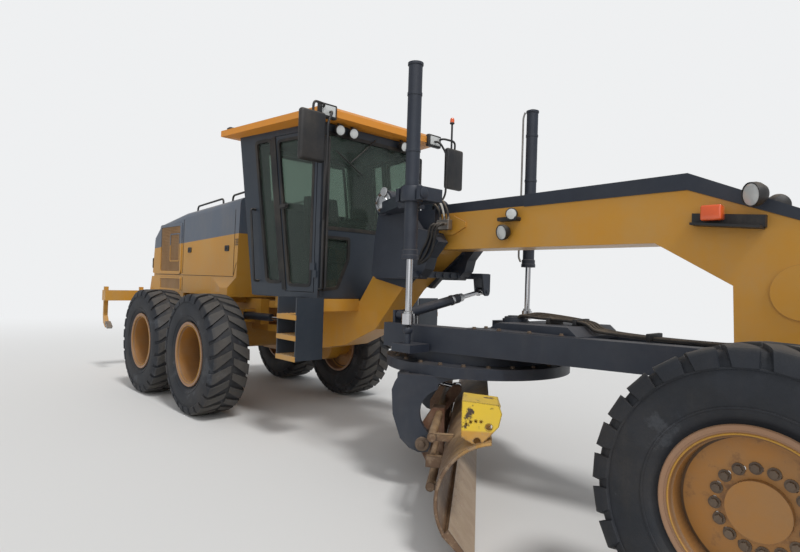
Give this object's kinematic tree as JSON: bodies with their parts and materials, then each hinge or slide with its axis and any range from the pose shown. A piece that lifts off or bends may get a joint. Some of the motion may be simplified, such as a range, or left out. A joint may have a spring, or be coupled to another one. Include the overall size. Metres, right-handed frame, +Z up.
{
  "type": "motor grader",
  "caption": "Six-wheel motor grader: articulated frame, cab with opening doors, steered and leaning front wheels, drawbar with turning circle, side-shifting curved blade, and a rear ripper.",
  "frame": {"origin": "on the ground under the middle of the machine's bounding box", "axes": "+X points forward, +Y to the machine's left, +Z up"},
  "size_m": [9.6976, 3.0535, 3.385],
  "materials": {
    "tyre": "matt, dusty",
    "rim": "satin",
    "glass": "tinted",
    "engine": "matt",
    "cab_frame": "satin",
    "roof": "gloss",
    "black_plastic": "matt",
    "chrome_rod": "polished",
    "charcoal_paint": "satin",
    "body_paint": "gloss"
  },
  "bodies": {
    "rear": {"rear_frame": "body_paint", "engine_block": "engine", "hood": "body_paint", "rear_axle": "body_paint"},
    "front": {"front_frame": "body_paint", "frame_cover": "charcoal_paint", "saddle": "charcoal_paint", "cab_shell": "cab_frame", "cab_roof": "roof", "cab_glass": "glass", "lamps_mirrors": "black_plastic", "front_axle": "body_paint"},
    "wheel_front_left": {"tyre_front_left": "tyre", "rim_front_left": "rim"},
    "wheel_front_right": {"tyre_front_right": "tyre", "rim_front_right": "rim"},
    "wheel_mid_left": {"tyre_mid_left": "tyre", "rim_mid_left": "rim"},
    "wheel_mid_right": {"tyre_mid_right": "tyre", "rim_mid_right": "rim"},
    "wheel_rear_left": {"tyre_rear_left": "tyre", "rim_rear_left": "rim"},
    "wheel_rear_right": {"tyre_rear_right": "tyre", "rim_rear_right": "rim"},
    "door_left": {"door_left": "cab_frame", "door_glass_left": "glass"},
    "door_right": {"door_right": "cab_frame", "door_glass_right": "glass"},
    "lean_left": {"lean_left": "body_paint"},
    "lean_right": {"lean_right": "body_paint"},
    "knuckle_left": {"knuckle_left": "body_paint"},
    "knuckle_right": {"knuckle_right": "body_paint"},
    "lean_bar": {"lean_bar": "charcoal_paint"},
    "tie_rod": {"tie_rod": "charcoal_paint"},
    "steer_barrel_left": {"steer_barrel_left": "charcoal_paint"},
    "steer_rod_left": {"steer_rod_left": "chrome_rod"},
    "steer_barrel_right": {"steer_barrel_right": "charcoal_paint"},
    "steer_rod_right": {"steer_rod_right": "chrome_rod"},
    "drawbar_swivel": {"drawbar_swivel": "charcoal_paint"},
    "drawbar": {"drawbar": "charcoal_paint"},
    "circle": {"circle": "charcoal_paint"},
    "blade_carrier": {"blade_carrier": "charcoal_paint"},
    "moldboard": {"moldboard": "body_paint"},
    "tip_barrel": {"tip_barrel": "charcoal_paint"},
    "tip_rod": {"tip_rod": "chrome_rod"},
    "lift_barrel_left": {"lift_barrel_left": "charcoal_paint"},
    "lift_rod_left": {"lift_rod_left": "chrome_rod"},
    "lift_barrel_right": {"lift_barrel_right": "charcoal_paint"},
    "lift_rod_right": {"lift_rod_right": "chrome_rod"},
    "shift_barrel": {"shift_barrel": "charcoal_paint"},
    "shift_rod": {"shift_rod": "chrome_rod"},
    "ripper_links": {"ripper_links": "body_paint"},
    "ripper_top_link": {"ripper_top_link": "body_paint"},
    "ripper_beam": {"ripper_beam": "body_paint"},
    "ripper_barrel": {"ripper_barrel": "charcoal_paint"},
    "ripper_rod": {"ripper_rod": "chrome_rod"},
    "hitch_barrel_left": {"hitch_barrel_left": "charcoal_paint"},
    "hitch_rod_left": {"hitch_rod_left": "chrome_rod"},
    "hitch_barrel_right": {"hitch_barrel_right": "charcoal_paint"},
    "hitch_rod_right": {"hitch_rod_right": "chrome_rod"}
  },
  "joints": [
    {"name": "articulation", "type": "hinge", "parent": "rear", "child": "front", "pos_m": [-0.57875, 0, 1.05], "axis": [0, 0, 1], "range_deg": [-20, 20]},
    {"name": "hitch_foot_left", "type": "hinge", "parent": "rear", "child": "hitch_barrel_left", "pos_m": [-1.27875, 0.5, 1.08], "axis": [0, 0, 1], "range_deg": [-1.28, 1.28]},
    {"name": "hitch_stroke_left", "type": "slide", "parent": "hitch_barrel_left", "child": "hitch_rod_left", "axis": [0.995, -0.0995, 0], "range_m": [-0.1538, 0.1538]},
    {"name": "hitch_foot_right", "type": "hinge", "parent": "rear", "child": "hitch_barrel_right", "pos_m": [-1.27875, -0.5, 1.08], "axis": [0, 0, 1], "range_deg": [-1.28, 1.28]},
    {"name": "hitch_stroke_right", "type": "slide", "parent": "hitch_barrel_right", "child": "hitch_rod_right", "axis": [0.995, 0.0995, 0], "range_m": [-0.1538, 0.1538]},
    {"name": "spin_mid_left", "type": "hinge", "parent": "rear", "child": "wheel_mid_left", "pos_m": [-1.22375, 1.015, 0.6675], "axis": [0, 1, 0], "continuous": true},
    {"name": "spin_mid_right", "type": "hinge", "parent": "rear", "child": "wheel_mid_right", "pos_m": [-1.22375, -1.015, 0.6675], "axis": [0, 1, 0], "continuous": true},
    {"name": "spin_rear_left", "type": "hinge", "parent": "rear", "child": "wheel_rear_left", "pos_m": [-2.73375, 1.015, 0.6675], "axis": [0, 1, 0], "continuous": true},
    {"name": "spin_rear_right", "type": "hinge", "parent": "rear", "child": "wheel_rear_right", "pos_m": [-2.73375, -1.015, 0.6675], "axis": [0, 1, 0], "continuous": true},
    {"name": "door_left", "type": "hinge", "parent": "front", "child": "door_left", "pos_m": [0.35885, 0.6794, 2.2], "axis": [0, 0, 1], "range_deg": [-85, 0]},
    {"name": "door_right", "type": "hinge", "parent": "front", "child": "door_right", "pos_m": [0.35885, -0.6794, 2.2], "axis": [0, 0, -1], "range_deg": [-85, 0]},
    {"name": "lean", "type": "hinge", "parent": "front", "child": "lean_left", "pos_m": [4.18125, 0.6, 0.6], "axis": [-1, 0, 0], "range_deg": [-18, 18]},
    {"name": "lean_right_turn", "type": "hinge", "parent": "front", "child": "lean_right", "pos_m": [4.18125, -0.6, 0.6], "axis": [-1, 0, 0], "range_deg": [-18.2, 18.2]},
    {"name": "lean_bar_move", "type": "slide", "parent": "front", "child": "lean_bar", "axis": [0, 1, 0], "range_m": [-0.11, 0.11]},
    {"name": "steering", "type": "hinge", "parent": "lean_left", "child": "knuckle_left", "pos_m": [4.18125, 0.74, 0.6675], "axis": [0, 0, 1], "range_deg": [-45, 45]},
    {"name": "steering_right", "type": "hinge", "parent": "lean_right", "child": "knuckle_right", "pos_m": [4.18125, -0.74, 0.6675], "axis": [0, 0, 1], "range_deg": [-45.2, 45.2]},
    {"name": "spin_front_left", "type": "hinge", "parent": "knuckle_left", "child": "wheel_front_left", "pos_m": [4.18125, 1.04, 0.6675], "axis": [0, 1, 0], "continuous": true},
    {"name": "spin_front_right", "type": "hinge", "parent": "knuckle_right", "child": "wheel_front_right", "pos_m": [4.18125, -1.04, 0.6675], "axis": [0, 1, 0], "continuous": true},
    {"name": "tie_rod_move", "type": "slide", "parent": "front", "child": "tie_rod", "axis": [0, 1, 0], "range_m": [-0.1761, 0.1761]},
    {"name": "steer_foot_left", "type": "hinge", "parent": "front", "child": "steer_barrel_left", "pos_m": [4.35625, 0.08, 0.4105], "axis": [0, 0, 1], "range_deg": [-12.31, 12.31]},
    {"name": "steer_stroke_left", "type": "slide", "parent": "steer_barrel_left", "child": "steer_rod_left", "axis": [-0.0096, 1, 0], "range_m": [-0.1213, 0.1213]},
    {"name": "steer_foot_right", "type": "hinge", "parent": "front", "child": "steer_barrel_right", "pos_m": [4.35625, -0.08, 0.4105], "axis": [0, 0, 1], "range_deg": [-12.31, 12.31]},
    {"name": "steer_stroke_right", "type": "slide", "parent": "steer_barrel_right", "child": "steer_rod_right", "axis": [-0.0096, -1, 0], "range_m": [-0.1213, 0.1213]},
    {"name": "drawbar_swing", "type": "hinge", "parent": "front", "child": "drawbar_swivel", "pos_m": [3.92125, 0, 1.1], "axis": [0, 0, 1], "range_deg": [-7.5, 7.5]},
    {"name": "drawbar_lift", "type": "hinge", "parent": "drawbar_swivel", "child": "drawbar", "pos_m": [3.92125, 0, 1.1], "axis": [0, 1, 0], "range_deg": [-14, 10]},
    {"name": "circle_turn", "type": "hinge", "parent": "drawbar", "child": "circle", "pos_m": [1.82125, 0, 0.89], "axis": [0, 0, -1], "range_deg": [-51.5, 78.5]},
    {"name": "blade_tip", "type": "hinge", "parent": "circle", "child": "blade_carrier", "pos_m": [1.52856, -0.23282, 0.355], "axis": [-0.6225, 0.7826, 0], "range_deg": [-8, 30]},
    {"name": "blade_shift", "type": "slide", "parent": "blade_carrier", "child": "moldboard", "axis": [0.6225, -0.7826, 0], "range_m": [-0.51, 0.66]},
    {"name": "tip_foot", "type": "hinge", "parent": "circle", "child": "tip_barrel", "pos_m": [1.35169, -0.37351, 0.735], "axis": [-0.6225, 0.7826, 0], "range_deg": [-3.42, 11.99]},
    {"name": "tip_stroke", "type": "slide", "parent": "tip_barrel", "child": "tip_rod", "axis": [0.769, 0.6117, -0.1856], "range_m": [-0.0472, 0.1656]},
    {"name": "lift_head_left", "type": "hinge", "parent": "front", "child": "lift_barrel_left", "pos_m": [1.78125, 0.787, 2.2], "axis": [1, 0, 0], "range_deg": [-17.7, 17.7]},
    {"name": "lift_stroke_left", "type": "slide", "parent": "lift_barrel_left", "child": "lift_rod_left", "axis": [0, 0, 1], "range_m": [-0.5409, 0.3915]},
    {"name": "lift_head_right", "type": "hinge", "parent": "front", "child": "lift_barrel_right", "pos_m": [1.78125, -0.787, 2.2], "axis": [1, 0, 0], "range_deg": [-17.7, 17.7]},
    {"name": "lift_stroke_right", "type": "slide", "parent": "lift_barrel_right", "child": "lift_rod_right", "axis": [0, 0, 1], "range_m": [-0.5409, 0.3915]},
    {"name": "centre_shift_foot", "type": "hinge", "parent": "drawbar", "child": "shift_barrel", "pos_m": [1.50125, -0.58, 1.265], "axis": [1, 0, 0], "range_deg": [-21.48, 29.68]},
    {"name": "centre_shift_stroke", "type": "slide", "parent": "shift_barrel", "child": "shift_rod", "axis": [0, 0.9809, 0.1943], "range_m": [-0.3227, 0.3227]},
    {"name": "ripper_lift", "type": "hinge", "parent": "rear", "child": "ripper_links", "pos_m": [-4.09875, 0, 0.8], "axis": [0, 1, 0], "range_deg": [-85, 0]},
    {"name": "ripper_top_turn", "type": "hinge", "parent": "rear", "child": "ripper_top_link", "pos_m": [-4.09875, 0, 1.1], "axis": [0, 1, 0], "range_deg": [-85.5, 0.5]},
    {"name": "ripper_beam_turn", "type": "hinge", "parent": "ripper_links", "child": "ripper_beam", "pos_m": [-4.59875, 0, 1.15], "axis": [0, 1, 0], "range_deg": [-0.5, 85.5]},
    {"name": "ripper_foot", "type": "hinge", "parent": "rear", "child": "ripper_barrel", "pos_m": [-4.08875, 0, 1.3], "axis": [0, 1, 0], "range_deg": [-74.42, 1.46]},
    {"name": "ripper_stroke", "type": "slide", "parent": "ripper_barrel", "child": "ripper_rod", "axis": [-0.9827, 0, 0.1854], "range_m": [-0.0066, 0.3295]}
  ],
  "couplings": [
    {"joint": "hitch_foot_left", "follows": "articulation", "ratio": 0.06162},
    {"joint": "hitch_stroke_left", "follows": "articulation", "m_per_rad": -0.42342},
    {"joint": "hitch_foot_right", "follows": "articulation", "ratio": 0.06162},
    {"joint": "hitch_stroke_right", "follows": "articulation", "m_per_rad": 0.42342},
    {"joint": "lean_right_turn", "follows": "lean", "ratio": 1},
    {"joint": "lean_bar_move", "follows": "lean", "m_per_rad": 0.33},
    {"joint": "steering_right", "follows": "steering", "ratio": 1},
    {"joint": "tie_rod_move", "follows": "steering", "m_per_rad": -0.21545},
    {"joint": "steer_foot_left", "follows": "steering", "ratio": -0.263},
    {"joint": "steer_stroke_left", "follows": "steering", "m_per_rad": 0.14833},
    {"joint": "steer_foot_right", "follows": "steering", "ratio": -0.263},
    {"joint": "steer_stroke_right", "follows": "steering", "m_per_rad": -0.14833},
    {"joint": "tip_foot", "follows": "blade_tip", "ratio": 0.38984},
    {"joint": "tip_stroke", "follows": "blade_tip", "m_per_rad": 0.30834},
    {"joint": "lift_head_left", "follows": "drawbar_swing", "ratio": -2.2694},
    {"joint": "lift_stroke_left", "follows": "drawbar_lift", "m_per_rad": 2.14},
    {"joint": "lift_head_right", "follows": "drawbar_swing", "ratio": -2.2694},
    {"joint": "lift_stroke_right", "follows": "drawbar_lift", "m_per_rad": 2.14},
    {"joint": "centre_shift_foot", "follows": "drawbar_lift", "ratio": -2.0496},
    {"joint": "centre_shift_stroke", "follows": "drawbar_swing", "m_per_rad": 2.3699},
    {"joint": "ripper_top_turn", "follows": "ripper_lift", "ratio": 1},
    {"joint": "ripper_beam_turn", "follows": "ripper_lift", "ratio": -1},
    {"joint": "ripper_foot", "follows": "ripper_lift", "ratio": 0.8584},
    {"joint": "ripper_stroke", "follows": "ripper_lift", "m_per_rad": -0.21769}
  ]
}
